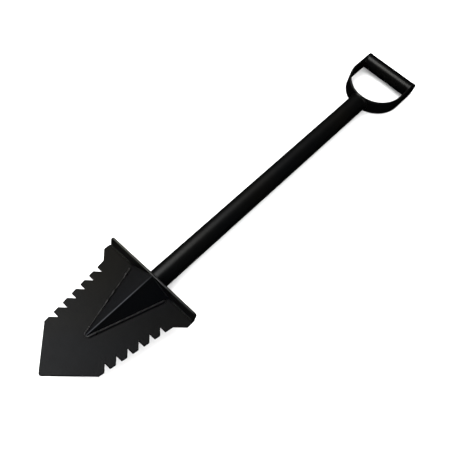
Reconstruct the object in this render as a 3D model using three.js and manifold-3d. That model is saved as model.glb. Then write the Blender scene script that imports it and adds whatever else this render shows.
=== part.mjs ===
// Detecting shovel: a compact all-steel digging shovel with a notched, pointed
// blade, a straight tube shaft and a D handle, lying on its back.
//
// Millimetres. +Y runs from the blade's point to the handle, +Z is the blade's
// front side, +X is across. The origin is under the middle of the box around
// the whole shovel, on the surface that it lies on.
//
// The pieces are steel plate and tube, joined by weld beads. They are made in
// two inner frames: the shaft's, whose Y axis is the tube's own axis, and the
// blade's, which is pitched forward and has the blade's front face at z = 0 and
// the tread round y = 0. The shaft's frame has the tread near y = 0 too.
import * as THREE from 'three';
import { ConvexGeometry } from 'three/addons/geometries/ConvexGeometry.js';
import { mergeVertices } from 'three/addons/utils/BufferGeometryUtils.js';
import Module from 'manifold-3d';

const wasm = await Module();
wasm.setup();

// Driving dimensions
const GAP = 0.3; // between neighbouring pieces
const PLATE = 3; // thickness of the blade and the end cap

const SHAFT_RADIUS = 16;
const SHAFT_WALL = 1.6;
const MITRE = Math.PI / 4; // slope of the tube's lower end
const MITRE_FRONT = -52; // where the mitre meets the front of the tube
const END_CAP_INSET = 0.6; // of the end cap's edge, from the tube's surface

const BLADE_PITCH = THREE.MathUtils.degToRad(5.8);
const BLADE_AHEAD = 13.6; // blade's front face ahead of the shaft's axis
const BLADE_LENGTH = 200.2; // from the point to y = 0, within the tread
const POINT_ROUND = 4;
const POINT_TOP = -149.2; // where the 90 degree point ends
const SIDE_FLARE = 0.1444; // how much each side widens for each millimetre
const NOTCH_COUNT = 6;
const NOTCH_PITCH = 17.76;
const FIRST_NOTCH = -130.8;
const NOTCH_DEPTH = 10.3;
const LAST_TOOTH_END = -28.6;
const SHOULDER_HALF_WIDTH = 84;

const TREAD_THICK = 4;
const TREAD_TOP = 1; // its height in the blade's frame
const TREAD_HALF_WIDTH = 84;
const TREAD_REACH = 18; // how far the foot plate stands forward
const TREAD_CORNER = 5;
const TREAD_COLUMNS = 5; // faces along its length

const GUSSET_SHEET = 2.5;
const GUSSET_TIP = -123;
const GUSSET_HALF_WIDTH = 35.9;
const GUSSET_HEIGHT = 17.4;
const GUSSET_TIP_HALF_WIDTH = 2.2;
const GUSSET_TIP_HEIGHT = 1.5;
const GUSSET_BEAD_END = -9; // where its long beads stop, short of the foot plate

const GRIP_Y = 602.6; // the grip's axis, from the tread
const GRIP_RADIUS = 13.7;
const GRIP_WALL = 1.6;
const STRAP_WIDTH = 28;
const STRAP_THICK = 3.5;
const STRAP_HALF_WIDTH = 51.2;
const STRAP_LEG = 39.8; // straight part, from the grip's axis to the bend
const STRAP_BEND = 54.6; // depth of the bend

const BEAD = 2.4; // radius of the gusset's long weld beads
const FILLET = 2.6; // radius of the corner fillets
const SMALL_FILLET = 2; // under the foot plate
const EDGE_BEAD = 1.7; // radius of the beads along flush edges
const STRAP_BEAD = 1.8; // radius of the bead between shaft and strap
const BEAD_OFFSET = 0.8; // from an edge to the middle of the bead that runs along it
const END_MARGIN = 3; // from the end of an edge to the end of its bead
const GRIP_BEAD_HEIGHT = 1; // of the ring fillets at the grip's ends
const GRIP_BEAD_LENGTH = 2.4;
const FACETS = 64; // round a tube
const BEAD_FACETS = 12;
const BEAD_STEPS = 24; // along a curved bead
const WIDE = 400; // larger than any piece is across

// Derived
const STRAP_BEND_Y = GRIP_Y - STRAP_LEG;
const TREAD_BOTTOM = TREAD_TOP - TREAD_THICK;
const BLADE_TOP = TREAD_BOTTOM - GAP;
const BLADE_BACK = -PLATE;
// The point's sides run at 45 degrees and are tangent to its rounded end
const SIDE_AT_POINT = BLADE_LENGTH + POINT_TOP + POINT_ROUND * (Math.SQRT2 - 1);
const LOWEST = -SHAFT_RADIUS; // in the shaft's frame, the surface it lies on
const TIP_Y = -BLADE_LENGTH * Math.cos(BLADE_PITCH) - PLATE * Math.sin(BLADE_PITCH);
const HANDLE_END_Y = GRIP_Y + GRIP_RADIUS + GAP + GRIP_BEAD_HEIGHT;

// The blade's frame, seen from the shaft's
const BLADE_IN_SHAFT = new THREE.Matrix4()
  .makeRotationX(-BLADE_PITCH)
  .setPosition(0, 0, BLADE_AHEAD);

// ---------------------------------------------------------------- solids

// A manifold solid from a closed geometry
function solid(geometry) {
  const bare = geometry.clone();
  bare.deleteAttribute('normal');
  bare.deleteAttribute('uv');
  const merged = mergeVertices(bare, 1e-4);
  return new wasm.Manifold(new wasm.Mesh({
    numProp: 3,
    vertProperties: merged.attributes.position.array,
    triVerts: new Uint32Array(merged.index.array),
  }));
}

function geometryOf(manifold) {
  const { vertProperties, triVerts } = manifold.getMesh();
  const geometry = new THREE.BufferGeometry();
  geometry.setAttribute('position', new THREE.BufferAttribute(vertProperties, 3));
  geometry.setIndex(new THREE.BufferAttribute(triVerts, 1));
  geometry.computeVertexNormals();
  return geometry;
}

// A box between two corners
function box(low, high) {
  const size = high.map((value, i) => value - low[i]);
  const middle = high.map((value, i) => (value + low[i]) / 2);
  return new THREE.BoxGeometry(...size).translate(...middle);
}

// A solid rod along Y
function rod(radius, from, to) {
  return new THREE.CylinderGeometry(radius, radius, to - from, FACETS)
    .translate(0, (from + to) / 2, 0);
}

// A tube along Y
function tube(radius, wall, from, to) {
  const ring = new THREE.Shape().absarc(0, 0, radius, 0, 2 * Math.PI);
  ring.holes.push(new THREE.Path().absarc(0, 0, radius - wall, 0, 2 * Math.PI));
  const options = { depth: to - from, bevelEnabled: false, curveSegments: FACETS / 2 };
  return new THREE.ExtrudeGeometry(ring, options)
    .rotateX(-Math.PI / 2)
    .translate(0, from, 0);
}

// A round weld bead that follows a function from 0..1 to a point
function bead(radius, steps, pointAt) {
  const path = new THREE.Curve();
  path.getPoint = (t, target = new THREE.Vector3()) => target.set(...pointAt(t));
  const section = new THREE.Shape().absarc(0, 0, radius, 0, 2 * Math.PI);
  const options = { steps, extrudePath: path, curveSegments: BEAD_FACETS / 2 };
  return solid(new THREE.ExtrudeGeometry(section, options));
}

// A straight weld bead between two points
function straightBead(radius, from, to) {
  const mix = (t) => from.map((value, i) => value + t * (to[i] - value));
  return bead(radius, 1, mix);
}

// The same solid on the other side of the middle plane
function mirrored(manifold) {
  return manifold.mirror([1, 0, 0]);
}

// ---------------------------------------------------------------- materials

function powderCoat() {
  return new THREE.MeshStandardMaterial({ color: 0x17181a, roughness: 0.42, metalness: 0.3 });
}

function gripCoat() {
  return new THREE.MeshStandardMaterial({ color: 0x141416, roughness: 0.32, metalness: 0.3 });
}

function weldCoat() {
  return new THREE.MeshStandardMaterial({ color: 0x1b1b1d, roughness: 0.5, metalness: 0.3 });
}

function piece(name, manifold, material) {
  const mesh = new THREE.Mesh(geometryOf(manifold), material);
  mesh.name = name;
  return mesh;
}

// ---------------------------------------------------------------- blade end

// Half width of the blade along its notched side
function sideAt(y) {
  return SIDE_AT_POINT + SIDE_FLARE * (y - POINT_TOP);
}

// The blade's right side, from above the rounded point up to its top edge
function sideOutline() {
  const points = [[sideAt(POINT_TOP), POINT_TOP]];
  for (let i = 0; i < NOTCH_COUNT; i++) {
    const notch = FIRST_NOTCH + i * NOTCH_PITCH;
    const bottom = sideAt(notch) - NOTCH_DEPTH;
    const slope = NOTCH_DEPTH / (1 + SIDE_FLARE); // rise of the 45 degree flank
    points.push([bottom + slope, notch - slope], [bottom, notch], [sideAt(notch), notch]);
  }
  const lastHalfWidth = sideAt(LAST_TOOTH_END);
  const flare = SHOULDER_HALF_WIDTH - lastHalfWidth;
  points.push([lastHalfWidth, LAST_TOOTH_END]);
  points.push([SHOULDER_HALF_WIDTH, LAST_TOOTH_END + flare]);
  points.push([SHOULDER_HALF_WIDTH, BLADE_TOP]);
  return points;
}

function blade() {
  const outline = new THREE.Shape();
  const tipCentre = POINT_ROUND - BLADE_LENGTH;
  outline.absarc(0, tipCentre, POINT_ROUND, -3 * Math.PI / 4, -Math.PI / 4);
  const right = sideOutline();
  right.forEach(([x, y]) => outline.lineTo(x, y));
  right.reverse().forEach(([x, y]) => outline.lineTo(-x, y));
  const options = { depth: PLATE, bevelEnabled: false, curveSegments: 6 };
  return solid(new THREE.ExtrudeGeometry(outline, options).translate(0, 0, BLADE_BACK));
}

// A flat plate standing forward of the blade, with two rounded front corners.
// Its top is made in columns, so that each end is a face of its own.
function footPlate() {
  const half = TREAD_HALF_WIDTH;
  const inset = half - TREAD_CORNER;
  const cornerY = TREAD_REACH - TREAD_CORNER;
  const outline = new THREE.Shape();
  outline.moveTo(-half, BLADE_BACK - GAP);
  outline.lineTo(half, BLADE_BACK - GAP);
  outline.absarc(inset, cornerY, TREAD_CORNER, 0, Math.PI / 2);
  outline.absarc(-inset, cornerY, TREAD_CORNER, Math.PI / 2, Math.PI);
  const options = { depth: 2 * TREAD_THICK, bevelEnabled: false, curveSegments: 6 };
  const prism = new THREE.ExtrudeGeometry(outline, options)
    .rotateX(Math.PI / 2)
    .translate(0, TREAD_TOP + TREAD_THICK / 2, 0);
  const depth = TREAD_REACH - BLADE_BACK;
  const middleY = (TREAD_TOP + TREAD_BOTTOM) / 2;
  const slab = new THREE.BoxGeometry(2 * half, TREAD_THICK, depth, TREAD_COLUMNS, 1, 1)
    .translate(0, middleY, (TREAD_REACH + BLADE_BACK) / 2);
  return solid(slab).intersect(solid(prism));
}

// The room that the foot plate takes, with the gap round it
function footPlateRoom() {
  const half = TREAD_HALF_WIDTH + GAP;
  const low = [-half, BLADE_TOP, BLADE_BACK - GAP];
  return solid(box(low, [half, TREAD_TOP + GAP, TREAD_REACH + GAP]));
}

// The tent shape under the gusset's outer faces, raised or sunk by some height.
// Its two faces and its ridge run straight from the tip to the top.
function gussetTent(raise, top = BLADE_TOP) {
  const share = (top - GUSSET_TIP) / (BLADE_TOP - GUSSET_TIP);
  const halfWidth = THREE.MathUtils.lerp(GUSSET_TIP_HALF_WIDTH, GUSSET_HALF_WIDTH, share);
  const height = THREE.MathUtils.lerp(GUSSET_TIP_HEIGHT, GUSSET_HEIGHT, share);
  const corners = [
    new THREE.Vector3(0, top, height + raise),
    new THREE.Vector3(0, GUSSET_TIP, GUSSET_TIP_HEIGHT + raise),
  ];
  for (const side of [-1, 1]) {
    for (const z of [raise, -GUSSET_HEIGHT]) {
      corners.push(new THREE.Vector3(side * halfWidth, top, z));
      corners.push(new THREE.Vector3(side * GUSSET_TIP_HALF_WIDTH, GUSSET_TIP, z));
    }
  }
  return solid(new ConvexGeometry(corners));
}

// The room that the gusset takes, with the gap, which runs on into the foot plate
function gussetRoom() {
  return gussetTent(GAP, 0);
}

// Everything ahead of the blade's front face, with the gap
function aheadOfBlade() {
  return solid(box([-WIDE, -WIDE, GAP], [WIDE, WIDE, WIDE]));
}

// A V-folded sheet, open behind, that braces the foot plate
function gusset() {
  const slope = Math.atan2(GUSSET_HEIGHT, GUSSET_HALF_WIDTH);
  const drop = GUSSET_SHEET / Math.cos(slope);
  const sheet = gussetTent(0).subtract(gussetTent(-drop));
  return sheet.intersect(aheadOfBlade());
}

// The long bead on the gusset's right edge. It wraps half of the blunt tip and
// stops short of the foot plate.
function gussetWeld() {
  const share = (GUSSET_BEAD_END - GUSSET_TIP) / (BLADE_TOP - GUSSET_TIP);
  const endX = THREE.MathUtils.lerp(GUSSET_TIP_HALF_WIDTH, GUSSET_HALF_WIDTH, share);
  const corner = [GUSSET_TIP_HALF_WIDTH + BEAD_OFFSET, GUSSET_TIP - BEAD_OFFSET, GAP];
  const side = straightBead(BEAD, corner, [endX + BEAD_OFFSET, GUSSET_BEAD_END, GAP]);
  const tip = straightBead(BEAD, [-BEAD, GUSSET_TIP - BEAD_OFFSET, GAP], corner);
  const rightHalf = solid(box([GAP / 2, -WIDE, GAP], [WIDE, WIDE, WIDE]));
  return side.add(tip).subtract(gussetRoom()).intersect(rightHalf);
}

// The fillet between the gusset's right face and the foot plate
function gussetTopWeld() {
  const slope = GUSSET_HEIGHT / GUSSET_HALF_WIDTH;
  const heightAt = (x) => GUSSET_HEIGHT - slope * x;
  const low = GUSSET_HALF_WIDTH - END_MARGIN;
  const from = [low, BLADE_TOP, heightAt(low)];
  const to = [END_MARGIN, BLADE_TOP, heightAt(END_MARGIN)];
  const underPlate = solid(box([GAP, -WIDE, GAP], [WIDE, BLADE_TOP, TREAD_REACH - GAP]));
  return straightBead(SMALL_FILLET, from, to).subtract(gussetRoom()).intersect(underPlate);
}

// The fillet in the corner between the blade and the foot plate, right of the gusset
function footPlateWeld() {
  const from = [GUSSET_HALF_WIDTH + 2 * END_MARGIN, BLADE_TOP, GAP];
  const to = [TREAD_HALF_WIDTH - END_MARGIN, BLADE_TOP, GAP];
  const corner = solid(box([0, -WIDE, GAP], [WIDE, BLADE_TOP, WIDE]));
  return straightBead(SMALL_FILLET, from, to).intersect(corner);
}

// The bead along the back of the same joint, right of the shaft
function backWeld() {
  const sunk = BLADE_BACK - GAP / 3;
  const from = [SHAFT_RADIUS + END_MARGIN, TREAD_BOTTOM, sunk];
  const to = [TREAD_HALF_WIDTH - END_MARGIN, TREAD_BOTTOM, sunk];
  const behind = solid(box([0, -WIDE, -WIDE], [WIDE, WIDE, BLADE_BACK - GAP]));
  return straightBead(EDGE_BEAD, from, to).intersect(behind);
}

// ---------------------------------------------------------------- shaft

// The room of the blade and the foot plate, in the shaft's frame
function bladeRoom() {
  const room = box([-WIDE, -WIDE, BLADE_BACK - GAP], [WIDE, TREAD_TOP + GAP, WIDE]);
  return solid(room.applyMatrix4(BLADE_IN_SHAFT));
}

// Everything below the mitre plane moved out by some distance
function belowMitre(outBy) {
  const block = box([-WIDE, -WIDE, -WIDE], [WIDE, -outBy, WIDE]);
  return solid(block.rotateX(MITRE).translate(0, MITRE_FRONT, SHAFT_RADIUS));
}

// The D outline that the strap's outer face follows, moved out by some distance
function strapOutline(outBy, top) {
  const half = STRAP_HALF_WIDTH + outBy;
  const outline = new THREE.Path();
  outline.moveTo(half, top);
  outline.lineTo(half, STRAP_BEND_Y);
  outline.absellipse(0, STRAP_BEND_Y, half, STRAP_BEND + outBy, 0, -Math.PI, true);
  outline.lineTo(-half, top);
  return outline.getPoints(32);
}

// The room inside the strap's outer face, with the gap
function strapRoom() {
  const shape = new THREE.Shape(strapOutline(GAP, GRIP_Y));
  const options = { depth: WIDE, bevelEnabled: false };
  return solid(new THREE.ExtrudeGeometry(shape, options).translate(0, 0, -WIDE / 2));
}

// Round tube. Its front is scarfed to lie on the blade's back and to stand on
// the tread, its lower end is mitred, and its top is coped to the strap.
function shaftTube() {
  return solid(tube(SHAFT_RADIUS, SHAFT_WALL, MITRE_FRONT - PLATE, STRAP_BEND_Y))
    .subtract(bladeRoom())
    .subtract(belowMitre(0))
    .subtract(strapRoom());
}

// A plate that closes the mitred end
function shaftEndCap() {
  return solid(rod(SHAFT_RADIUS - END_CAP_INSET, -WIDE, 0))
    .intersect(belowMitre(GAP))
    .subtract(belowMitre(GAP + PLATE))
    .subtract(bladeRoom());
}

// Fillet in the wedge between the tube's right side and the blade's back
function shaftWeld() {
  const reach = SHAFT_RADIUS + BEAD_OFFSET;
  const start = -2 * END_MARGIN;
  const end = MITRE_FRONT + 2 * END_MARGIN;
  const pointAt = (t) => {
    const y = THREE.MathUtils.lerp(start, end, t);
    const z = backHeight(y) - BEAD_OFFSET;
    return [Math.sqrt(reach * reach - z * z), y, z];
  };
  return bead(FILLET, BEAD_STEPS, pointAt)
    .subtract(shaftRoom())
    .subtract(bladeRoom());
}

// Height of the blade's back face over the shaft's axis
function backHeight(y) {
  return BLADE_AHEAD - (PLATE + GAP) / Math.cos(BLADE_PITCH) - y * Math.tan(BLADE_PITCH);
}

// The bead round the right half of the end cap's edge
function capWeld() {
  const outBy = PLATE / 2 + GAP;
  const edge = bead(EDGE_BEAD, BEAD_STEPS, (t) => {
    const angle = Math.PI * (t - 0.5);
    const z = SHAFT_RADIUS * Math.sin(angle);
    const y = MITRE_FRONT + SHAFT_RADIUS - z - outBy * Math.SQRT2;
    return [SHAFT_RADIUS * Math.cos(angle), y, z];
  });
  return edge
    .subtract(shaftRoom().subtract(belowMitre(GAP)))
    .subtract(capRoom())
    .subtract(bladeBeadRoom())
    .intersect(aboveGround())
    .intersect(solid(box([GAP, -WIDE, -WIDE], [WIDE, WIDE, WIDE])));
}

// The bead where the cap comes down on the blade
function capTipWeld() {
  const tipY = MITRE_FRONT - PLATE;
  const tipZ = backHeight(tipY) - BEAD_OFFSET;
  const half = 2 * END_MARGIN;
  return straightBead(FILLET, [-half, tipY, tipZ], [half, tipY, tipZ])
    .subtract(shaftRoom().subtract(belowMitre(GAP)))
    .subtract(capRoom())
    .subtract(bladeRoom());
}

// The rods that the tube and the end cap take up, with the gap
function shaftRoom() {
  return solid(rod(SHAFT_RADIUS + GAP, -WIDE, 2 * WIDE));
}

function capRoom() {
  const outside = solid(rod(SHAFT_RADIUS - END_CAP_INSET + GAP, -WIDE, 0));
  return outside.subtract(belowMitre(PLATE + 2 * GAP));
}

// Next to the blade's back, where the tube's and the cap's other beads run
function bladeBeadRoom() {
  return solid(box([-WIDE, -WIDE, SHAFT_RADIUS / 2], [WIDE, 0, WIDE]));
}

// Clear of the surface that the shovel lies on
function aboveGround() {
  return solid(box([-WIDE, -WIDE, LOWEST + GAP], [WIDE, 2 * WIDE, WIDE]));
}

// The fillet round the front of the tube, on the tread
function treadWeld() {
  const reach = SHAFT_RADIUS + BEAD_OFFSET;
  const lift = TREAD_TOP / Math.cos(BLADE_PITCH) + BEAD_OFFSET;
  const pointAt = (t) => {
    const angle = (0.5 + t) * Math.PI / 2;
    const z = reach * Math.sin(angle);
    const y = (z - BLADE_AHEAD) * Math.tan(BLADE_PITCH) + lift;
    return [reach * Math.cos(angle), y, z];
  };
  return bead(FILLET, BEAD_STEPS, pointAt)
    .subtract(shaftRoom())
    .subtract(bladeRoom());
}

// ---------------------------------------------------------------- handle

// A flat bar bent to a D. Its legs end in half rounds that share the grip's axis.
function handleStrap() {
  const top = GRIP_Y + STRAP_WIDTH / 2;
  const outer = strapOutline(0, top);
  const inner = strapOutline(-STRAP_THICK, top).reverse();
  const shape = new THREE.Shape([...outer, ...inner]);
  const options = { depth: STRAP_WIDTH, bevelEnabled: false };
  const bar = new THREE.ExtrudeGeometry(shape, options).translate(0, 0, -STRAP_WIDTH / 2);
  const roundEnd = rod(STRAP_WIDTH / 2, -WIDE, WIDE).rotateZ(Math.PI / 2).translate(0, GRIP_Y, 0);
  const belowGrip = box([-WIDE, 0, -WIDE], [WIDE, GRIP_Y, WIDE]);
  return solid(bar).intersect(solid(roundEnd).add(solid(belowGrip)));
}

function gripTube() {
  const half = STRAP_HALF_WIDTH - STRAP_THICK - GAP;
  const along = tube(GRIP_RADIUS, GRIP_WALL, -half, half);
  return solid(along.rotateZ(Math.PI / 2).translate(0, GRIP_Y, 0));
}

// A ring-shaped fillet round the grip's right end
function gripWeld() {
  const inside = GRIP_RADIUS + GAP;
  const steps = 4;
  const profile = [new THREE.Vector2(inside, 0)];
  for (let i = 0; i <= steps; i++) {
    const angle = (i / steps) * (Math.PI / 2);
    const radius = inside + GRIP_BEAD_HEIGHT * Math.cos(angle);
    profile.push(new THREE.Vector2(radius, GRIP_BEAD_LENGTH * Math.sin(angle)));
  }
  profile.push(profile[0]);
  const face = STRAP_HALF_WIDTH - STRAP_THICK - GAP;
  const ring = new THREE.LatheGeometry(profile, FACETS).rotateZ(Math.PI / 2);
  return solid(ring.translate(face, GRIP_Y, 0));
}

// The bead round the joint between the shaft and the strap
function strapWeld() {
  const reach = SHAFT_RADIUS + GAP;
  const overlap = 0.1; // radians, so that the two halves join
  const halfTurn = (from) => bead(STRAP_BEAD, BEAD_STEPS, (t) => {
    const angle = from + t * (Math.PI + overlap);
    const x = reach * Math.cos(angle);
    const bend = Math.sqrt(1 - (x / STRAP_HALF_WIDTH) ** 2);
    return [x, STRAP_BEND_Y - STRAP_BEND * bend - BEAD_OFFSET, reach * Math.sin(angle)];
  });
  return halfTurn(0).add(halfTurn(Math.PI))
    .subtract(shaftRoom())
    .subtract(strapRoom())
    .intersect(aboveGround());
}

// ---------------------------------------------------------------- assembly

function bladeEnd() {
  const group = new THREE.Group();
  group.applyMatrix4(BLADE_IN_SHAFT);
  group.add(
    piece('blade', blade(), powderCoat()),
    piece('foot_plate', footPlate(), powderCoat()),
    piece('gusset', gusset(), powderCoat()),
  );
  const pairs = {
    gusset_weld: gussetWeld(),
    gusset_top_weld: gussetTopWeld().subtract(footPlateRoom()),
    foot_plate_weld: footPlateWeld(),
    foot_plate_back_weld: backWeld(),
  };
  for (const [name, right] of Object.entries(pairs)) {
    group.add(piece(`${name}_right`, right, weldCoat()));
    group.add(piece(`${name}_left`, mirrored(right), weldCoat()));
  }
  return group;
}

function shaftAndHandle() {
  const group = new THREE.Group();
  group.add(
    piece('shaft_tube', shaftTube(), powderCoat()),
    piece('shaft_end_cap', shaftEndCap(), powderCoat()),
    piece('handle_strap', handleStrap(), powderCoat()),
    piece('grip_tube', gripTube(), gripCoat()),
    piece('cap_tip_weld', capTipWeld(), weldCoat()),
    piece('tread_weld', treadWeld(), weldCoat()),
    piece('strap_weld', strapWeld(), weldCoat()),
    piece('cap_weld_right', capWeld(), weldCoat()),
    piece('cap_weld_left', mirrored(capWeld()), weldCoat()),
    piece('shaft_weld_right', shaftWeld(), weldCoat()),
    piece('shaft_weld_left', mirrored(shaftWeld()), weldCoat()),
    piece('grip_weld_right', gripWeld(), weldCoat()),
    piece('grip_weld_left', mirrored(gripWeld()), weldCoat()),
  );
  return group;
}

const shovel = new THREE.Group();
shovel.add(bladeEnd(), shaftAndHandle());
shovel.position.set(0, -(TIP_Y + HANDLE_END_Y) / 2, SHAFT_RADIUS);

export default shovel;
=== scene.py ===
"""Detecting shovel, the looks: steel plate and tube, welded up and powder-coated black.

The pieces are shaped in millimetres, in the two frames of the CAD part: the shaft's,
whose Y axis is the tube's own axis, and the blade's, which is pitched forward and has
the blade's front face at z = 0 and the tread round y = 0. Each mesh then goes to the
row frame, in metres.
"""
import math

import bpy
import numpy as np
from mathutils import Matrix, Vector, noise


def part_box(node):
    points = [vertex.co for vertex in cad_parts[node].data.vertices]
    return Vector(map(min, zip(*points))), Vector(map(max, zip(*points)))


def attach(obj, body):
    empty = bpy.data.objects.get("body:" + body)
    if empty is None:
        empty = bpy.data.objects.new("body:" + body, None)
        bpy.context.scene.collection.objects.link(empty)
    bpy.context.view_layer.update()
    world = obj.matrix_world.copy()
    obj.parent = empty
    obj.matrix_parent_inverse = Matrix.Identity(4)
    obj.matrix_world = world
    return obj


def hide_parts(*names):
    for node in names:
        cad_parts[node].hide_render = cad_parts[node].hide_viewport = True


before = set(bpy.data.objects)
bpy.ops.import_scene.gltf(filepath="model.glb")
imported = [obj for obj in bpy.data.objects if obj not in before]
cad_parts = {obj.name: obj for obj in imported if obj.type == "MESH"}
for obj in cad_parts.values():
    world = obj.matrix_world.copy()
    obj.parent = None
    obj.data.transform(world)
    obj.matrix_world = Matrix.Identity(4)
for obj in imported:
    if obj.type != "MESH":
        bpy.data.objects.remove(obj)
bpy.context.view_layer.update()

MM = 0.001


def cad_box(node):
    """Lowest and highest corner of a CAD node, in millimetres."""
    low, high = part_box(node)
    return np.array(low) / MM, np.array(high) / MM


# ---------------------------------------------------------------- sizes, mm

GAP = 0.3  # between neighbouring pieces
PLATE = 3.0  # thickness of the blade and the end cap
PITCH = math.radians(5.8)  # of the blade, forward of the shaft

SHAFT_LOW, SHAFT_HIGH = cad_box("shaft_tube")
SHAFT_RADIUS = (SHAFT_HIGH[0] - SHAFT_LOW[0]) / 2
SHAFT_WALL = 1.6
MITRE_FRONT = -52.0  # where the slanted lower end meets the front of the tube
END_CAP_INSET = 0.6  # of the end cap's edge, from the tube's surface

TREAD_LOW, TREAD_HIGH = cad_box("foot_plate")
TREAD_HALF_WIDTH = TREAD_HIGH[0]
TREAD_THICK = 4.0
TREAD_TOP = 1.0  # its height in the blade's frame
TREAD_REACH = 18.0  # how far the foot plate stands forward
TREAD_CORNER = 5.0

BLADE_LENGTH = 200.2  # from the point to y = 0, within the tread
POINT_ROUND = 4.0
POINT_TOP = -149.2  # where the 90 degree point ends
SIDE_FLARE = 0.1444  # how much each side widens for each millimetre
NOTCH_COUNT = 6
NOTCH_PITCH = 17.76
FIRST_NOTCH = -130.8
NOTCH_DEPTH = 10.3
LAST_TOOTH_END = -28.6
SHOULDER_HALF_WIDTH = cad_box("blade")[1][0]
BLADE_TOP = TREAD_TOP - TREAD_THICK - GAP

GUSSET_SHEET = 2.5
GUSSET_TIP = -123.0
GUSSET_HALF_WIDTH = 35.9
GUSSET_HEIGHT = 17.4
GUSSET_TIP_HALF_WIDTH = 2.2
GUSSET_TIP_HEIGHT = 1.5
GUSSET_BEAD_END = -9.0  # where its long beads stop, short of the foot plate
GUSSET_FOLD = 2.6  # outer radius of its ridge
GUSSET_LIP = 0.012  # share of its length that is rounded off at its tip
LEAST_HEIGHT = 0.4  # of that lip's edge
LEAST_HOLLOW = 0.05  # share of the gusset's section, where its sheet fills the fold

GRIP_LOW, GRIP_HIGH = cad_box("grip_tube")
GRIP_RADIUS = (GRIP_HIGH[1] - GRIP_LOW[1]) / 2
GRIP_WALL = 1.6
GRIP_HALF_LENGTH = GRIP_HIGH[0]
STRAP_LOW, STRAP_HIGH = cad_box("handle_strap")
STRAP_HALF_WIDTH = STRAP_HIGH[0]
STRAP_WIDTH = STRAP_HIGH[2] - STRAP_LOW[2]
STRAP_THICK = 3.5
STRAP_LEG = 39.8  # straight part, from the grip's axis to the bend
STRAP_BEND = 54.6  # depth of the bend

BEAD = 2.4  # radius of the gusset's long weld beads
SHAFT_BEAD = 2.5  # of the fillets along and across the shaft
SMALL_BEAD = 0.7  # of the fillets on the front, under the foot plate
EDGE_BEAD = 1.7  # of the beads along flush edges
STRAP_BEAD = (2.5, 2.0)  # width and height of the bead between shaft and strap
GRIP_BEAD = (1.5, 1.2)  # of the ring fillets at the grip's ends
BEAD_OFFSET = 0.8  # from an edge to the middle of the bead that runs along it
BEAD_SUNK = 0.5  # how far a ring bead's middle lies inside its tube
END_MARGIN = 3.0  # from the end of an edge to the end of its bead
FLOOR_MARGIN = 0.05  # between a dressed bead and the floor

RIPPLE = 1.9  # length of one ripple of a weld
RIPPLE_LAG = 0.45  # how far a ripple trails at the bead's sides, in ripples
RIPPLE_GROOVE = 0.055  # depth of the groove between ripples, in bead radii
RIPPLE_SLOPE = 0.02  # rise along each ripple, in bead radii
BEAD_STEP = RIPPLE / 5
BEAD_TAPER = 1.2  # length of a bead's rounded end, in bead widths
BEAD_LUMP = 9.0  # length of a bead's slow changes of size
LUMP_WEIGHT = 1.6  # of those changes, against the finer ones

PLATE_EDGE = 0.7  # rounding of the coated plates' rims
PLATE_CORNER = 0.9  # rounding of their corners, seen from the front
TREAD_EDGE = 1.3  # rounding of the foot plate's rim
STRAP_EDGE = 0.9  # and of the strap's
BEYOND = 200.0  # past everything that is cut off the shaft

# ---------------------------------------------------------------- fineness

TUBE_FACETS = 160
BEAD_FACETS = 20
CAP_FACETS = 72
RING_STEPS = 120  # round a ring bead
CORNER_STEPS = 4  # round a softened corner
ROUND_STEPS = 12  # round a corner of the foot plate
POINT_STEPS = 10
RIDGE_STEPS = 6
PLATE_RIM_STEPS = 6
STRAP_RIM_STEPS = 4
STRAP_BEND_STEPS = 64
STRAP_END_STEPS = 16
SHARP_ANGLE = math.radians(40)  # steeper edges aren't shaded smooth
CUT_SHARP_ANGLE = math.radians(30)  # the same, on a mesh that was cut
SMOOTH_CORNERS = 4  # faces with more corners stay flat

# ---------------------------------------------------------------- frames

# The blade's and the shaft's frames share their origin's y, at the tread
TREAD_Y = TREAD_HIGH[1] - TREAD_REACH * math.sin(PITCH) - TREAD_TOP * math.cos(PITCH)
BLADE_Z = TREAD_LOW[2] + PLATE * math.cos(PITCH) + TREAD_TOP * math.sin(PITCH)
SHAFT_FRAME = Matrix.Translation((0, TREAD_Y, SHAFT_RADIUS))
BLADE_FRAME = Matrix.Translation((0, TREAD_Y, BLADE_Z)) @ Matrix.Rotation(-PITCH, 4, "X")
BLADE_AHEAD = BLADE_Z - SHAFT_RADIUS
GRIP_Y = (GRIP_LOW[1] + GRIP_HIGH[1]) / 2 - TREAD_Y
STRAP_BEND_Y = GRIP_Y - STRAP_LEG
ON_EDGE = Matrix.Rotation(math.pi / 2, 4, "X")  # turns a plate's height to -Y


# ---------------------------------------------------------------- meshes


def add_piece(node, points, faces, to_row, material):
    """A piece in the row frame that stands for a CAD node and bears its name. Its end
    faces stay flat, and the rest is shaded smooth."""
    mesh = bpy.data.meshes.new(node)
    mesh.from_pydata([tuple(p) for p in points], [], [tuple(f) for f in faces])
    mesh.transform(Matrix.Scale(MM, 4) @ to_row)
    mesh.set_sharp_from_angle(angle=SHARP_ANGLE)
    for polygon in mesh.polygons:
        polygon.use_smooth = len(polygon.vertices) <= SMOOTH_CORNERS
    mesh.materials.append(material)
    obj = bpy.data.objects.new(node, mesh)
    bpy.context.scene.collection.objects.link(obj)
    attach(obj, "root")
    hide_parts(node)
    return obj


def ring_faces(rings, size, closed_along=False):
    """Quads between neighbouring rings of points, each ring a closed loop."""
    faces = []
    for ring in range(rings if closed_along else rings - 1):
        here, there = ring * size, (ring + 1) % rings * size
        for i in range(size):
            j = (i + 1) % size
            faces.append((here + i, here + j, there + j, there + i))
    return faces


def arc(centre, radius, start, end, steps):
    """Points along a circular arc, with its angles in degrees."""
    angles = np.radians(np.linspace(start, end, steps + 1))
    return [centre + radius * np.array((math.cos(a), math.sin(a))) for a in angles]


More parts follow.
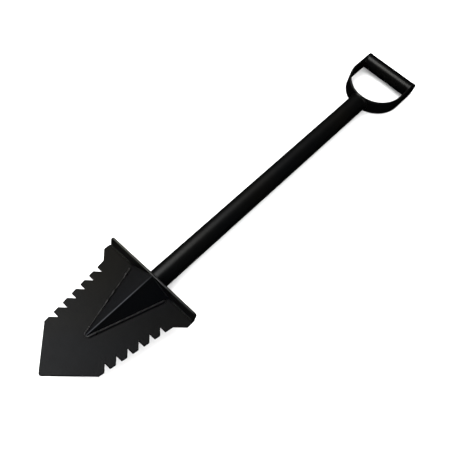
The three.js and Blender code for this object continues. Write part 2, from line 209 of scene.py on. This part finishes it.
def soften(corners, radius):
    """A closed outline with each sharp corner replaced by a small curve."""
    outline = []
    for i, corner in enumerate(corners):
        before, after = corners[i - 1] - corner, corners[(i + 1) % len(corners)] - corner
        reach = min(radius, np.linalg.norm(before) / 2, np.linalg.norm(after) / 2)
        start = corner + before / np.linalg.norm(before) * reach
        end = corner + after / np.linalg.norm(after) * reach
        for t in np.linspace(0, 1, CORNER_STEPS + 1):
            outline.append((1 - t) ** 2 * start + 2 * t * (1 - t) * corner + t**2 * end)
    return np.array(outline)


def inset(outline, distance):
    """A counterclockwise outline moved inward."""
    along = np.roll(outline, -1, axis=0) - outline
    along /= np.linalg.norm(along, axis=1)[:, None]
    inward = np.stack((-along[:, 1], along[:, 0]), axis=1)
    before = np.roll(inward, 1, axis=0)
    scale = 1 + np.sum(inward * before, axis=1)
    return outline + distance * (inward + before) / scale[:, None]


def rim_levels(edge, low, high, steps):
    """The rounded rim of a plate between two heights, from its low face to its high
    one: how far each level is moved inward, and its height."""
    quarter = np.radians(np.linspace(0, 90, steps + 1))
    profile = [(edge * (1 - math.sin(a)), edge * (1 - math.cos(a))) for a in quarter]
    lower = [(inward, low + rise) for inward, rise in profile]
    upper = [(inward, high - rise) for inward, rise in reversed(profile)]
    return lower + upper


def plate(outline, low, high, edge=PLATE_EDGE):
    """Points and faces of a flat plate between two heights, with a rounded rim."""
    levels = rim_levels(edge, low, high, PLATE_RIM_STEPS)
    size = len(outline)
    points = []
    for inward, height in levels:
        ring = inset(outline, inward)
        points.append(np.column_stack((ring, np.full(size, height))))
    faces = ring_faces(len(levels), size)
    faces.append(range(size - 1, -1, -1))
    faces.append(range((len(levels) - 1) * size, len(levels) * size))
    return np.vstack(points), faces


def tube(radius, wall, low_end, high_end):
    """Points and faces of a tube along Y whose two ends are functions of x and z."""
    points = []
    for reach, end in (
        (radius, low_end),
        (radius, high_end),
        (radius - wall, high_end),
        (radius - wall, low_end),
    ):
        for angle in np.linspace(0, 2 * math.pi, TUBE_FACETS, endpoint=False):
            x, z = reach * math.sin(angle), reach * math.cos(angle)
            points.append((x, end(x, z), z))
    return np.array(points), ring_faces(4, TUBE_FACETS, closed_along=True)


# ---------------------------------------------------------------- weld beads


def bump(t, at, wide):
    """A smooth hump of height 1 at one place of a run."""
    return math.exp(-(((t - at) / wide) ** 2))


def resample(path, spacing, closed):
    """The same path in equal steps, and how far along it each of them is."""
    path = np.array(path, float)
    if closed:
        path = np.vstack((path, path[:1]))
    steps = np.linalg.norm(np.diff(path, axis=0), axis=1)
    along = np.concatenate(([0], np.cumsum(steps)))
    count = max(8, round(along[-1] / spacing))
    at = np.linspace(0, along[-1], count, endpoint=not closed)
    return np.stack([np.interp(at, along, path[:, axis]) for axis in range(3)], axis=1), at


def bead_axes(centres, outward, closed):
    """Unit directions across a bead and out to its crown, at each centre."""
    if closed:
        tangents = np.roll(centres, -1, axis=0) - np.roll(centres, 1, axis=0)
    else:
        tangents = np.gradient(centres, axis=0)
    tangents /= np.linalg.norm(tangents, axis=1)[:, None]
    crowns = np.array([outward(c) if callable(outward) else outward for c in centres], float)
    crowns -= tangents * np.sum(crowns * tangents, axis=1)[:, None]
    crowns /= np.linalg.norm(crowns, axis=1)[:, None]
    return np.cross(tangents, crowns), crowns


def rounded(to_end, least=0.0):
    """Size of something that ends in a half round, at a distance from its end in
    shares of the round. `least` is the square of its smallest size."""
    return math.sqrt(max(least, 1 - (1 - min(1, to_end)) ** 2))


def unevenness(centre, seed, rough):
    """Size of a bead at one place, with slow lumps and finer ones."""
    place = Vector(centre / BEAD_LUMP) + Vector((seed, 0, 0))
    slow = noise.noise(place)
    fine = noise.noise(place * 4)
    return 1 + rough * (LUMP_WEIGHT * slow + fine)


def bead(path, outward, radii, seed, rough=0.08, closed=False, swell=None, blunt_start=False):
    """Points and faces of a weld bead: an oval section drawn along a path, with the
    overlapping ripples of the weld pool. `outward` is which way its crown faces, at
    each point or all along. `swell` is a function from 0..1 to a factor."""
    centres, at = resample(path, BEAD_STEP, closed)
    across, crowns = bead_axes(centres, outward, closed)
    count = len(centres)
    angles = np.linspace(0, 2 * math.pi, BEAD_FACETS, endpoint=False)
    width, height = radii
    length = at[-1] + (BEAD_STEP if closed else 0)
    points = []
    for i in range(count):
        factor = unevenness(centres[i], seed, rough)
        if swell:
            factor *= swell(at[i] / length)
        if not closed:
            to_end = length - at[i] if blunt_start else min(at[i], length - at[i])
            factor *= rounded(to_end / (BEAD_TAPER * width), least=0.003)
        for angle in angles:
            lag = RIPPLE_LAG * RIPPLE * math.cos(angle) ** 2
            phase = (at[i] + lag) / RIPPLE % 1
            ripple = 1 - RIPPLE_GROOVE * (2 * phase - 1) ** 4 - RIPPLE_SLOPE * (1 - phase)
            side = width * math.cos(angle) * factor * ripple
            rise = height * math.sin(angle) * factor * ripple
            points.append(centres[i] + across[i] * side + crowns[i] * rise)
    faces = ring_faces(count, BEAD_FACETS, closed)
    if not closed:
        faces.append(range(BEAD_FACETS - 1, -1, -1))
        faces.append(range((count - 1) * BEAD_FACETS, count * BEAD_FACETS))
    return np.array(points), faces


def dressed(points):
    """The same points of the shaft's frame, ground flat where they would pass under
    the floor."""
    floor = -SHAFT_FRAME.translation.z + FLOOR_MARGIN
    points[:, 2] = np.maximum(points[:, 2], floor)
    return points


def add_bead(name, path, outward, radii, to_row, seed, **options):
    points, faces = bead(path, outward, radii, seed, **options)
    if to_row == SHAFT_FRAME:
        points = dressed(points)
    add_piece(name, points, faces, to_row, WELD_COAT)


def on_side(outward, side):
    """A crown's direction for the right side (1) or its mirror image (-1)."""
    flip = np.array((side, 1, 1))
    if callable(outward):
        return lambda centre: flip * outward(centre * flip)
    return flip * outward


def add_bead_pair(name, path, outward, radii, to_row, seed, left_options=None, **options):
    """The bead on the right, and its partner on the left with a run of its own."""
    for side, word in ((1, "right"), (-1, "left")):
        turned = [(side * x, y, z) for x, y, z in path]
        chosen = dict(options)
        if side < 0 and left_options:
            chosen.update(left_options)
        crown = on_side(outward, side)
        add_bead(f"{name}_{word}", turned, crown, radii, to_row, seed + side, **chosen)


# ---------------------------------------------------------------- materials

NOISE_LOW, NOISE_HIGH = 0.3, 0.7  # most of a noise texture's values lie between

WARM_BLACK = (0.0013, 0.0011, 0.0008)
COOL_BLACK = (0.0006, 0.0008, 0.0012)
WARM_SHEEN = (1, 0.98, 0.9)
COOL_SHEEN = (0.97, 0.98, 1)
BLUE_SHEEN = (0.84, 0.88, 1)

TONE_WAVES = 9  # per metre, of a coat's changes of tone
GLOSS_WAVES = 55
PEEL_DEPTH = 0.0004  # metres
GRAIN_DEPTH = 0.00006
GRAIN_FINENESS = 6  # how many waves of the grain go into one of the orange peel
FOLD_CORE, FOLD_EDGE = 0.0006, 0.0016  # metres from a fold, between which its gloss fades
FOLD_FADE = 0.66  # share of a fold's length after which its gloss fades


def new_material(name):
    material = bpy.data.materials.new(name)
    material.use_nodes = True
    tree = material.node_tree
    return material, tree, tree.nodes["Principled BSDF"]


def add_noise(tree, scale, detail=2.0, roughness=0.5):
    """Noise in the row frame, with its scale in waves per metre."""
    place = tree.nodes.new("ShaderNodeTexCoord")
    texture = tree.nodes.new("ShaderNodeTexNoise")
    texture.inputs["Scale"].default_value = scale
    texture.inputs["Detail"].default_value = detail
    texture.inputs["Roughness"].default_value = roughness
    tree.links.new(place.outputs["Object"], texture.inputs["Vector"])
    return texture.outputs["Fac"]


def add_range(tree, value, low, high, start=NOISE_LOW, end=NOISE_HIGH):
    """A value mapped to a range."""
    scaled = tree.nodes.new("ShaderNodeMapRange")
    scaled.inputs["From Min"].default_value = start
    scaled.inputs["From Max"].default_value = end
    scaled.inputs["To Min"].default_value = low
    scaled.inputs["To Max"].default_value = high
    tree.links.new(value, scaled.inputs["Value"])
    return scaled.outputs["Result"]


def add_tint(tree, value, dark, light):
    """A colour between two, by a noise's value."""
    ramp = tree.nodes.new("ShaderNodeValToRGB")
    low, high = ramp.color_ramp.elements
    low.position = NOISE_LOW
    low.color = (*dark, 1)
    high.position = NOISE_HIGH
    high.color = (*light, 1)
    tree.links.new(value, ramp.inputs["Fac"])
    return ramp.outputs["Color"]


def add_bump(tree, height, strength, distance, normal=None):
    relief = tree.nodes.new("ShaderNodeBump")
    relief.inputs["Strength"].default_value = strength
    relief.inputs["Distance"].default_value = distance
    tree.links.new(height, relief.inputs["Height"])
    if normal:
        tree.links.new(normal, relief.inputs["Normal"])
    return relief.outputs["Normal"]


def coat(name, roughness, ior, peel, peel_waves, sheens=(WARM_SHEEN, COOL_SHEEN)):
    """Powder coat: nearly black, with orange peel and slow changes of tone and gloss."""
    material, tree, shader = new_material(name)
    tone = add_noise(tree, TONE_WAVES, 1)
    tree.links.new(add_tint(tree, tone, WARM_BLACK, COOL_BLACK), shader.inputs["Base Color"])
    tree.links.new(add_tint(tree, tone, *sheens), shader.inputs["Specular Tint"])
    gloss = add_noise(tree, GLOSS_WAVES, 4, 0.6)
    tree.links.new(add_range(tree, gloss, *roughness), shader.inputs["Roughness"])
    waves = add_bump(tree, add_noise(tree, peel_waves), peel, PEEL_DEPTH)
    fine = add_noise(tree, GRAIN_FINENESS * peel_waves)
    grain = add_bump(tree, fine, peel, GRAIN_DEPTH, waves)
    tree.links.new(grain, shader.inputs["Normal"])
    shader.inputs["IOR"].default_value = ior
    return material


def gloss_along_fold(material, node, ior, fold_ior):
    """Makes a coat glossier along a node's fold at x = 0, where it is thicker. The
    gloss fades out over the last third of the fold."""
    low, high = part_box(node)
    fade_from = low[1] + FOLD_FADE * (high[1] - low[1])
    tree = material.node_tree
    place = tree.nodes.new("ShaderNodeTexCoord")
    axes = tree.nodes.new("ShaderNodeSeparateXYZ")
    tree.links.new(place.outputs["Object"], axes.inputs["Vector"])
    aside = tree.nodes.new("ShaderNodeMath")
    aside.operation = "ABSOLUTE"
    tree.links.new(axes.outputs["X"], aside.inputs[0])
    along = add_range(tree, axes.outputs["Y"], fold_ior, ior, fade_from, high[1])
    gloss = add_range(tree, aside.outputs["Value"], fold_ior, ior, FOLD_CORE, FOLD_EDGE)
    tree.links.new(along, gloss.node.inputs["To Min"])
    tree.links.new(gloss, tree.nodes["Principled BSDF"].inputs["IOR"])


# Range of roughness, index of refraction, strength of the orange peel and its waves
# per metre
GUSSET_IOR, FOLD_IOR = 1.21, 1.44
BLADE_COAT = coat("blade_coat", (0.33, 0.39), 1.24, 0.3, 420)
GUSSET_COAT = coat("gusset_coat", (0.33, 0.39), GUSSET_IOR, 0.3, 420, (COOL_SHEEN, BLUE_SHEEN))
gloss_along_fold(GUSSET_COAT, "gusset", GUSSET_IOR, FOLD_IOR)
TREAD_COAT = coat("tread_coat", (0.31, 0.36), 1.56, 0.25, 420)
TUBE_COAT = coat("tube_coat", (0.33, 0.38), 1.36, 0.25, 420)
GRIP_COAT = coat("grip_coat", (0.26, 0.3), 1.39, 0.2, 380)
WELD_COAT = coat("weld_coat", (0.26, 0.35), 1.46, 0.4, 600)


# ---------------------------------------------------------------- blade end


def side_at(y):
    """Half width of the blade along its notched side."""
    point_width = BLADE_LENGTH + POINT_TOP + POINT_ROUND * (math.sqrt(2) - 1)
    return point_width + SIDE_FLARE * (y - POINT_TOP)


def blade_outline():
    """The blade's outline, counterclockwise from the left of its rounded point."""
    right = [(side_at(POINT_TOP), POINT_TOP)]
    for i in range(NOTCH_COUNT):
        notch = FIRST_NOTCH + i * NOTCH_PITCH
        bottom = side_at(notch) - NOTCH_DEPTH
        slope = NOTCH_DEPTH / (1 + SIDE_FLARE)
        right += [(bottom + slope, notch - slope), (bottom, notch), (side_at(notch), notch)]
    last = side_at(LAST_TOOTH_END)
    flare = SHOULDER_HALF_WIDTH - last
    right.append((last, LAST_TOOTH_END))
    right.append((SHOULDER_HALF_WIDTH, LAST_TOOTH_END + flare))
    right.append((SHOULDER_HALF_WIDTH, BLADE_TOP))
    left = [(-x, y) for x, y in reversed(right)]
    sides = soften(np.array(right + left), PLATE_CORNER)
    centre = np.array((0, POINT_ROUND - BLADE_LENGTH))
    tip = arc(centre, POINT_ROUND, -135, -45, POINT_STEPS)
    return np.vstack((tip, sides))


def add_blade():
    points, faces = plate(blade_outline(), -PLATE, 0)
    add_piece("blade", points, faces, BLADE_FRAME, BLADE_COAT)


def add_foot_plate():
    """A plate on edge, flush with the blade's back, with round corners in front."""
    half, back = TREAD_HALF_WIDTH, -PLATE
    inner = half - TREAD_CORNER
    front = TREAD_REACH - TREAD_CORNER
    # Of this triangle's corners only the two at the back are used
    triangle = soften(np.array(((-half, back), (half, back), (0, front))), PLATE_CORNER)
    back_corners = triangle[: 2 * (CORNER_STEPS + 1)]
    right = arc(np.array((inner, front)), TREAD_CORNER, 0, 90, ROUND_STEPS)
    left = arc(np.array((-inner, front)), TREAD_CORNER, 90, 180, ROUND_STEPS)
    outline = np.vstack((back_corners, right, left))
    points, faces = plate(outline, -TREAD_TOP, TREAD_THICK - TREAD_TOP, TREAD_EDGE)
    to_row = BLADE_FRAME @ ON_EDGE
    add_piece("foot_plate", points, faces, to_row, TREAD_COAT)


def gusset_section(half, height, fold):
    """Half of the gusset's section, from the right foot up and over to the ridge."""
    slope = math.atan2(height, half)
    turn = np.linspace(math.pi / 2 - slope, math.pi / 2, RIDGE_STEPS + 1)
    top = height - fold * (1 / math.cos(slope) - 1)
    ridge = [(fold * math.cos(a), top - fold + fold * math.sin(a)) for a in turn]
    return [(half, 0)] + ridge


def whole_section(half_section, y):
    """Both halves of a section at one y, from the right foot to the left, with their
    feet on the blade."""
    right = [(x, y, max(z, GAP)) for x, z in half_section]
    left = [(-x, y, z) for x, y, z in reversed(right)][1:]
    return right + left


def gusset_ring(share):
    """The gusset's section at a share of its length from the tip, as a closed ring:
    over its outer face and back under its inner one."""
    lip = rounded(share / GUSSET_LIP)
    half = GUSSET_TIP_HALF_WIDTH + share * (GUSSET_HALF_WIDTH - GUSSET_TIP_HALF_WIDTH)
    height = GUSSET_TIP_HEIGHT + share * (GUSSET_HEIGHT - GUSSET_TIP_HEIGHT)
    height = max(LEAST_HEIGHT, height * (0.3 + 0.7 * lip))
    fold = min(GUSSET_FOLD, 0.5 * height)
    inner = max(LEAST_HOLLOW, 1 - GUSSET_SHEET / height)
    y = GUSSET_TIP + share * (BLADE_TOP - GUSSET_TIP)
    over = whole_section(gusset_section(half, height, fold), y)
    under = whole_section(gusset_section(half * inner, height * inner, fold * inner), y)
    return over + under[::-1]


def add_gusset():
    """The V-folded sheet, with a rounded ridge, a round lip at its blunt tip, and
    its edges on the blade."""
    stations = np.concatenate((np.linspace(0, 0.04, 5), np.linspace(0.08, 1, 24)))
    rings = [gusset_ring(share) for share in stations]
    size = len(rings[0])
    faces = [face[::-1] for face in ring_faces(len(rings), size)]
    faces.append(range(size))
    last = (len(rings) - 1) * size
    faces.append(range(last + size - 1, last - 1, -1))
    add_piece("gusset", np.vstack(rings), faces, BLADE_FRAME, GUSSET_COAT)


def gusset_bead_path():
    """Beside the gusset's right edge: round half its blunt tip, then straight up."""
    rise = BLADE_TOP - GUSSET_TIP
    lean = math.atan2(GUSSET_HALF_WIDTH - GUSSET_TIP_HALF_WIDTH, rise)
    radius = BEAD_OFFSET + GUSSET_TIP_HALF_WIDTH * math.cos(lean) / (1 - math.sin(lean))
    centre = np.array((0, GUSSET_TIP - BEAD_OFFSET + radius))
    path = [(x, y, GAP) for x, y in arc(centre, radius, -90, -math.degrees(lean), 8)]
    x, y, _ = path[-1]
    path.append((x + (GUSSET_BEAD_END - y) * math.tan(lean), GUSSET_BEAD_END, GAP))
    return path


def even_run(t):
    """The right bead's size, which is even but slim round the gusset's tip."""
    return 1 - 0.5 * bump(t, 0, 0.04)


def spotty_run(t):
    """The left bead's size: thin, with a fuller run half way and two blobs at its end."""
    fuller = ((0.5, 0.04, 0.35), (0.63, 0.03, 0.45), (0.9, 0.03, 0.6), (0.97, 0.03, 0.8))
    more = sum(rise * bump(t, at, wide) for at, wide, rise in fuller)
    return 0.48 * even_run(t) + more


def add_blade_beads():
    up = (0, 0, 1)
    spotty = {"rough": 0.3, "swell": spotty_run}
    add_bead_pair(
        "gusset_weld", gusset_bead_path(), up, (BEAD, BEAD), BLADE_FRAME, 3,
        left_options=spotty, blunt_start=True, swell=even_run,
    )

    slope = GUSSET_HEIGHT / GUSSET_HALF_WIDTH
    small = (SMALL_BEAD, SMALL_BEAD)
    ends = (GUSSET_HALF_WIDTH - END_MARGIN, END_MARGIN)
    top_path = [(x, BLADE_TOP, GUSSET_HEIGHT - slope * x) for x in ends]
    add_bead_pair("gusset_top_weld", top_path, (0.4, -1, 0.8), small, BLADE_FRAME, 9)

    ends = (GUSSET_HALF_WIDTH + 2 * END_MARGIN, TREAD_HALF_WIDTH - END_MARGIN)
    corner_path = [(x, BLADE_TOP, GAP) for x in ends]
    add_bead_pair("foot_plate_weld", corner_path, (0, -1, 1), small, BLADE_FRAME, 15)

    ends = (SHAFT_RADIUS + END_MARGIN, TREAD_HALF_WIDTH - END_MARGIN)
    back_path = [(x, BLADE_TOP + GAP, -PLATE) for x in ends]
    flush = (EDGE_BEAD, EDGE_BEAD)
    add_bead_pair("foot_plate_back_weld", back_path, (0, 0, -1), flush, BLADE_FRAME, 21)


# ---------------------------------------------------------------- shaft


def back_height(y):
    """Height of the blade's back face over the shaft's axis."""
    return BLADE_AHEAD - (PLATE + GAP) / math.cos(PITCH) - y * math.tan(PITCH)


def strap_bend_at(x):
    """How far along the shaft the strap's outer face is, at a place across its bend."""
    return STRAP_BEND_Y - STRAP_BEND * math.sqrt(1 - (x / STRAP_HALF_WIDTH) ** 2)


def add_box(low, high, to_row):
    """A plain box that cuts another mesh and is then removed."""
    points = [
        (x, y, z)
        for x in (low[0], high[0])
        for y in (low[1], high[1])
        for z in (low[2], high[2])
    ]
    faces = [(0, 1, 3, 2), (4, 6, 7, 5), (0, 4, 5, 1), (2, 3, 7, 6), (0, 2, 6, 4), (1, 5, 7, 3)]
    mesh = bpy.data.meshes.new("cutter")
    mesh.from_pydata(points, [], faces)
    mesh.transform(Matrix.Scale(MM, 4) @ to_row)
    obj = bpy.data.objects.new("cutter", mesh)
    bpy.context.scene.collection.objects.link(obj)
    return obj


def cut_away(obj, cutter):
    """Cuts the cutter's room out of the piece's mesh."""
    modifier = obj.modifiers.new("cut", "BOOLEAN")
    modifier.operation = "DIFFERENCE"
    modifier.solver = "EXACT"
    modifier.object = cutter
    graph = bpy.context.evaluated_depsgraph_get()
    cut = bpy.data.meshes.new_from_object(obj.evaluated_get(graph))
    obj.modifiers.clear()
    obj.data = cut
    for polygon in cut.polygons:
        polygon.use_smooth = True
    cut.set_sharp_from_angle(angle=CUT_SHARP_ANGLE)
    bpy.data.objects.remove(cutter)


def add_shaft():
    """The tube, mitred below, coped to the strap above, and scarfed to the blade."""

    def mitre(x, z):
        return MITRE_FRONT + SHAFT_RADIUS - z

    def cope(x, z):
        return strap_bend_at(x) - GAP

    points, faces = tube(SHAFT_RADIUS, SHAFT_WALL, mitre, cope)
    shaft = add_piece("shaft_tube", points, faces, SHAFT_FRAME, TUBE_COAT)
    low, high = (-BEYOND, -BEYOND, -PLATE - GAP), (BEYOND, TREAD_TOP + GAP, BEYOND)
    cut_away(shaft, add_box(low, high, BLADE_FRAME))


def add_end_cap():
    """The plate that closes the tube's mitred lower end, cut flush all round."""
    radius = SHAFT_RADIUS - END_CAP_INSET
    circle = arc(np.zeros(2), radius, 0, 360, CAP_FACETS)[:-1]
    flat, faces = plate(np.array(circle), GAP, GAP + PLATE)
    points = []
    for x, z, height in flat:
        points.append((x, MITRE_FRONT + SHAFT_RADIUS - z - math.sqrt(2) * height, z))
    add_piece("shaft_end_cap", points, faces, SHAFT_FRAME, TUBE_COAT)


def radial(centre, lean=0):
    """Straight out from the shaft's axis, or leaning along it."""
    return np.array((centre[0], lean, centre[2]))


def shaft_bead_path():
    """Along the shaft's right side, in the corner with the blade's back."""
    reach = SHAFT_RADIUS + BEAD_OFFSET
    path = []
    for y in np.linspace(-2 * END_MARGIN, MITRE_FRONT + 2 * END_MARGIN, 12):
        z = back_height(y) - BEAD_OFFSET
        path.append((math.sqrt(reach**2 - z**2), y, z))
    return path


def cap_bead_path():
    """Round the right half of the end cap, from the floor up to the blade's back."""
    out_by = PLATE / 2 + GAP
    path = []
    for angle in np.radians(np.linspace(-90, 28, 30)):
        z = SHAFT_RADIUS * math.sin(angle)
        y = MITRE_FRONT + SHAFT_RADIUS - z - out_by * math.sqrt(2)
        path.append((SHAFT_RADIUS * math.cos(angle), y, z))
    return path


def cap_tip_path():
    """Straight across, where the end cap's upper edge meets the blade's back."""
    half = 2 * END_MARGIN
    y = MITRE_FRONT - PLATE
    z = back_height(y) - BEAD_OFFSET
    return [(-half, y, z), (half, y, z)]


def tread_bead_path():
    """Over the front of the shaft, on top of the foot plate."""
    reach = SHAFT_RADIUS + BEAD_OFFSET
    path = []
    for angle in np.radians(np.linspace(45, 135, 20)):
        z = reach * math.sin(angle)
        y = (z - BLADE_AHEAD) * math.tan(PITCH) + TREAD_TOP + BEAD_OFFSET
        path.append((reach * math.cos(angle), y, z))
    return path


def add_shaft_beads():
    full, flush = (SHAFT_BEAD, SHAFT_BEAD), (EDGE_BEAD, EDGE_BEAD)
    side_path = shaft_bead_path()
    add_bead_pair("shaft_weld", side_path, (1, 0, -0.6), full, SHAFT_FRAME, 27)
    add_bead_pair("cap_weld", cap_bead_path(), radial, flush, SHAFT_FRAME, 33)
    add_bead("cap_tip_weld", cap_tip_path(), (0, -1, -1), full, SHAFT_FRAME, 39)
    front_path = tread_bead_path()
    add_bead("tread_weld", front_path, lambda c: radial(c, 12), full, SHAFT_FRAME, 45)


# ---------------------------------------------------------------- handle


def strap_point(along, depth, across):
    """A point of the strap. `along` is the angle round the bend, and beyond its two
    ends the length along a leg. `depth` is inward from the outer face."""
    half, bend = STRAP_HALF_WIDTH - depth, STRAP_BEND - depth
    if along <= 0:
        return np.array((half, STRAP_BEND_Y - along, across))
    if along >= math.pi:
        return np.array((-half, STRAP_BEND_Y + along - math.pi, across))
    x, y = half * math.cos(along), STRAP_BEND_Y - bend * math.sin(along)
    return np.array((x, y, across))


def strap_outline(half_width):
    """The strap laid flat, as closed pairs of along and across: a straight strip whose
    two ends are half rounds."""
    quarter = np.radians(np.linspace(0, 90, STRAP_END_STEPS + 1))
    end = [(-STRAP_LEG - half_width * math.cos(a), half_width * math.sin(a)) for a in quarter]
    leg = [(-STRAP_LEG * (1 - t), half_width) for t in np.linspace(0.1, 1, 10)]
    turn = np.linspace(0, math.pi, STRAP_BEND_STEPS + 1)
    bend = [(angle, half_width) for angle in turn[1:-1]]
    right_leg = end + leg
    left_leg = [(math.pi - along, across) for along, across in reversed(right_leg)]
    upper = right_leg + bend + left_leg
    lower = [(along, -across) for along, across in reversed(upper[1:-1])]
    return upper + lower


def strap_strips(size):
    """Strips across the strap's flat face, between the two sides of its outline."""
    count = (size + 2) // 2
    strips = [(0, 1, size - 1)]
    for i in range(1, count - 2):
        strips.append((i, i + 1, size - i - 1, size - i))
    strips.append((count - 2, count - 1, size - count + 2))
    return strips


def add_strap():
    """A flat bar bent to a D. Its legs end in half rounds, and its edges are rounded."""
    levels = rim_levels(STRAP_EDGE, 0, STRAP_THICK, STRAP_RIM_STEPS)
    points = []
    for inward, depth in levels:
        outline = strap_outline(STRAP_WIDTH / 2 - inward)
        points += [strap_point(along, depth, across) for along, across in outline]
    size = len(points) // len(levels)
    last = (len(levels) - 1) * size
    faces = ring_faces(len(levels), size)
    for strip in strap_strips(size):
        faces.append(strip[::-1])
        faces.append(tuple(last + k for k in strip))
    # The outline runs clockwise, so every face is turned over
    faces = [face[::-1] for face in faces]
    add_piece("handle_strap", points, faces, SHAFT_FRAME, TUBE_COAT)


def add_grip():
    half = GRIP_HALF_LENGTH
    points, faces = tube(GRIP_RADIUS, GRIP_WALL, lambda x, z: -half, lambda x, z: half)
    across = Matrix.Translation((0, GRIP_Y, 0)) @ Matrix.Rotation(-math.pi / 2, 4, "Z")
    add_piece("grip_tube", points, faces, SHAFT_FRAME @ across, GRIP_COAT)


def front_blobs(t):
    """Size of the bead round the shaft's end, which has two fuller spots in front."""
    blobs = ((0.312, 0.032, 0.6), (0.255, 0.022, 0.5))
    return 1 + sum(more * bump(t, at, wide) for at, wide, more in blobs)


def from_grip_axis(centre):
    """Straight out from the grip's axis."""
    return np.array((0, centre[1] - GRIP_Y, centre[2]))


def full_turn():
    return np.linspace(0, 2 * math.pi, RING_STEPS, endpoint=False)


def strap_bead_path():
    """Round the shaft's end, along the strap's bend."""
    reach = SHAFT_RADIUS - BEAD_SUNK
    path = []
    for angle in full_turn():
        x = reach * math.cos(angle)
        path.append((x, strap_bend_at(x) - 3 * BEAD_OFFSET, reach * math.sin(angle)))
    return path


def grip_bead_path():
    """Round the grip's right end, on the inside of the leg."""
    x = STRAP_HALF_WIDTH - STRAP_THICK - GAP
    reach = GRIP_RADIUS - BEAD_SUNK
    return [(x, GRIP_Y + reach * math.cos(a), reach * math.sin(a)) for a in full_turn()]


def add_handle_beads():
    add_bead(
        "strap_weld", strap_bead_path(), lambda c: radial(c, -10), STRAP_BEAD, SHAFT_FRAME, 51,
        closed=True, rough=0.12, swell=front_blobs,
    )
    path = grip_bead_path()
    add_bead_pair("grip_weld", path, from_grip_axis, GRIP_BEAD, SHAFT_FRAME, 57, closed=True)


# ---------------------------------------------------------------- stage, metres

FLOOR_REACH = 6
CAMERA_PLACE = (0.2618, -0.5005, 0.88496)
CAMERA_TURNS = (29.609, -7.187, 42.551)  # degrees, about X, Y and Z
CAMERA_LENS = 52.62  # millimetres, on a sensor of 36
# Directions from the shovel's middle
KEY_FROM = (-0.559, -0.027, 0.829)
FILL_FROM = (0.66, -0.62, 0.42)


def add_floor():
    reach = FLOOR_REACH
    corners = [(-reach, -reach, 0), (reach, -reach, 0), (reach, reach, 0), (-reach, reach, 0)]
    mesh = bpy.data.meshes.new("floor")
    mesh.from_pydata(corners, [], [(0, 1, 2, 3)])
    material, tree, shader = new_material("floor_paper")
    shade = add_noise(tree, 1.5, 1)
    tint = add_tint(tree, shade, (0.88, 0.88, 0.88), (0.9, 0.9, 0.9))
    tree.links.new(tint, shader.inputs["Base Color"])
    shader.inputs["Roughness"].default_value = 0.9
    shader.inputs["Specular IOR Level"].default_value = 0.1
    mesh.materials.append(material)
    floor = bpy.data.objects.new("floor", mesh)
    bpy.context.scene.collection.objects.link(floor)
    # The shovel's dark sides mirror the unlit room, and not the bright paper
    floor.visible_glossy = False


def add_softbox(name, towards, distance, size, radiance):
    """A rectangular area light that faces the shovel's middle."""
    direction = Vector(towards).normalized()
    light = bpy.data.lights.new(name, "AREA")
    light.shape = "RECTANGLE"
    light.size, light.size_y = size
    light.energy = radiance * math.pi * light.size * light.size_y
    obj = bpy.data.objects.new(name, light)
    obj.location = direction * distance
    obj.rotation_mode = "QUATERNION"
    obj.rotation_quaternion = direction.to_track_quat("Z", "Y")
    bpy.context.scene.collection.objects.link(obj)


def add_world(radiance):
    world = bpy.data.worlds.new("studio")
    world.use_nodes = True
    background = world.node_tree.nodes["Background"]
    background.inputs["Color"].default_value = (radiance, radiance, radiance, 1)
    # It lights the paper, and isn't seen in the coat's gloss
    world.cycles_visibility.glossy = False
    bpy.context.scene.world = world


def add_camera():
    camera = bpy.data.cameras.new("camera")
    camera.sensor_width = 36
    camera.lens = CAMERA_LENS
    obj = bpy.data.objects.new("camera", camera)
    obj.location = CAMERA_PLACE
    obj.rotation_euler = [math.radians(turn) for turn in CAMERA_TURNS]
    bpy.context.scene.collection.objects.link(obj)
    bpy.context.scene.camera = obj


# ---------------------------------------------------------------- build

add_blade()
add_foot_plate()
add_gusset()
add_blade_beads()
add_shaft()
add_end_cap()
add_shaft_beads()
add_strap()
add_grip()
add_handle_beads()

add_floor()
add_softbox("key", KEY_FROM, distance=6, size=(4.09, 5.32), radiance=5.6)
add_softbox("fill", FILL_FROM, distance=5, size=(3.5, 3.5), radiance=1.2)
add_world(radiance=2.0)
add_camera()
bpy.context.scene.view_settings.view_transform = "Standard"

bpy.context.view_layer.update()
